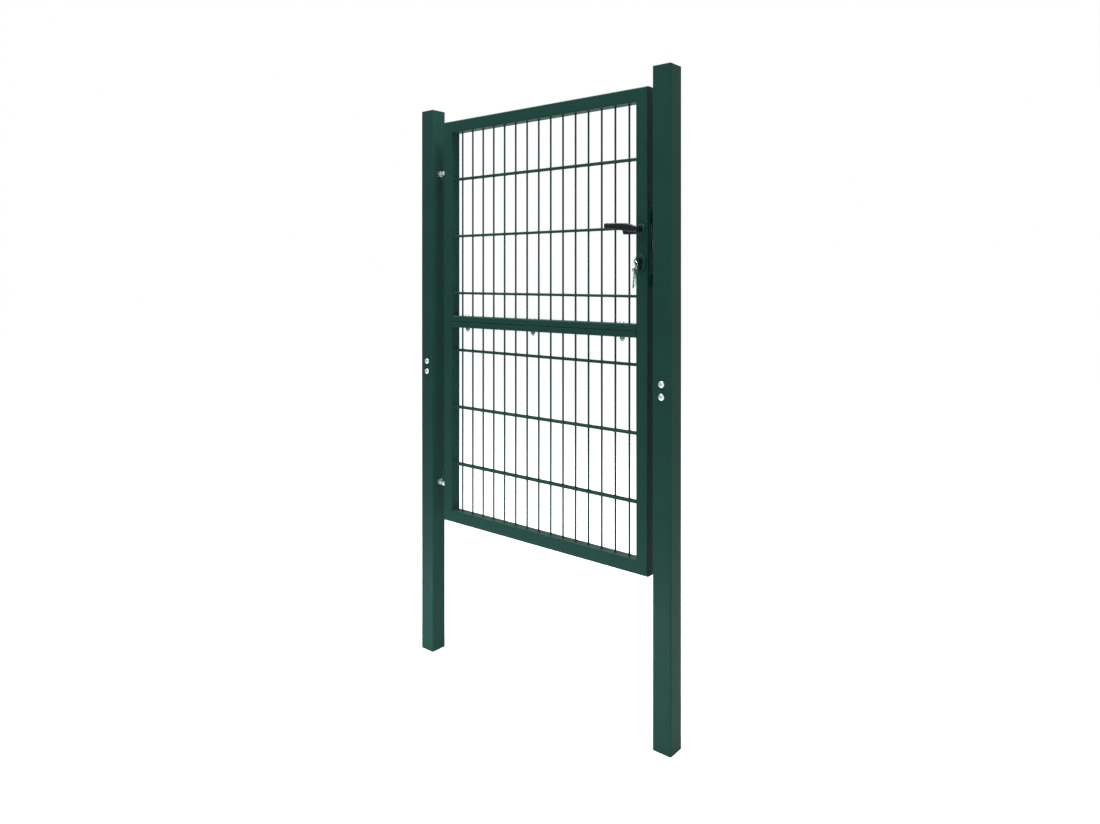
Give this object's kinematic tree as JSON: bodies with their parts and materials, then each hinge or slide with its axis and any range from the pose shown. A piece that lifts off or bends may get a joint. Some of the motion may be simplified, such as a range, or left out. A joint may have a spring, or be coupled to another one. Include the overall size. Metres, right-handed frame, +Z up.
{
  "type": "mesh panel gate",
  "caption": "Single-leaf garden gate of double-wire mesh in a square tube frame, hung between two square posts, with a lever lock and keys.",
  "frame": {"origin": "on the hinge post's outer side face, in the leaf's middle plane, at ground level", "axes": "+X runs from the hinge post to the latch post, -Y is the front with the key side, +Z is up"},
  "size_m": [1.04, 0.1216, 1.94],
  "materials": {
    "green_powder_coat": "moss green powder coat, satin",
    "zinc_plated": "bright zinc plate",
    "black_plastic": "black moulded plastic, satin",
    "nickel_plated": "nickel plate",
    "green_plastic": "moss green moulded plastic, satin",
    "black_nickel": "black nickel plate"
  },
  "bodies": {
    "posts": {"hinge_post_lower": "green_powder_coat", "hinge_post_upper": "green_powder_coat", "latch_post_lower": "green_powder_coat", "latch_post_upper": "green_powder_coat", "post_caps": "green_plastic", "splice_sleeves": "zinc_plated", "splice_bolts": "zinc_plated", "strike_plate": "zinc_plated", "strike_screws": "zinc_plated", "upper_eye_bolt": "zinc_plated", "upper_hinge_nuts": "zinc_plated", "lower_eye_bolt": "zinc_plated", "lower_hinge_nuts": "zinc_plated"},
    "leaf": {"upper_hinge_barrel": "green_powder_coat", "upper_hinge_pin": "green_powder_coat", "lower_hinge_barrel": "green_powder_coat", "lower_hinge_pin": "green_powder_coat", "upper_hinge_stile": "green_powder_coat", "upper_latch_stile": "green_powder_coat", "top_rail": "green_powder_coat", "upper_mid_rail": "green_powder_coat", "lower_hinge_stile": "green_powder_coat", "lower_latch_stile": "green_powder_coat", "bottom_rail": "green_powder_coat", "lower_mid_rail": "green_powder_coat", "upper_mesh": "green_powder_coat", "lower_mesh": "green_powder_coat", "rail_bolts": "zinc_plated", "rail_nuts": "zinc_plated", "lock_case": "zinc_plated", "lock_faceplate": "green_powder_coat", "faceplate_screws": "black_nickel", "latch_bolt": "black_nickel", "dead_bolt": "black_nickel", "lock_cylinder": "black_nickel", "front_handle_rose": "green_powder_coat", "rear_handle_rose": "green_powder_coat", "front_cylinder_rose": "green_powder_coat", "rear_cylinder_rose": "green_powder_coat", "lock_key": "nickel_plated", "key_ring": "nickel_plated", "spare_keys": "nickel_plated"},
    "handle": {"handle_spindle": "zinc_plated", "front_lever": "black_plastic", "rear_lever": "black_plastic"}
  },
  "joints": [
    {"name": "leaf_swing", "type": "hinge", "parent": "posts", "child": "leaf", "pos_m": [0.092, 0, 0.744], "axis": [0, 0, -1], "range_deg": [0, 95]},
    {"name": "handle_press", "type": "hinge", "parent": "leaf", "child": "handle", "pos_m": [0.937, 0, 1.038], "axis": [0, -1, 0], "range_deg": [0, 40], "stiffness_Nm_per_rad": 1.2, "springref_deg": -28.65}
  ]
}
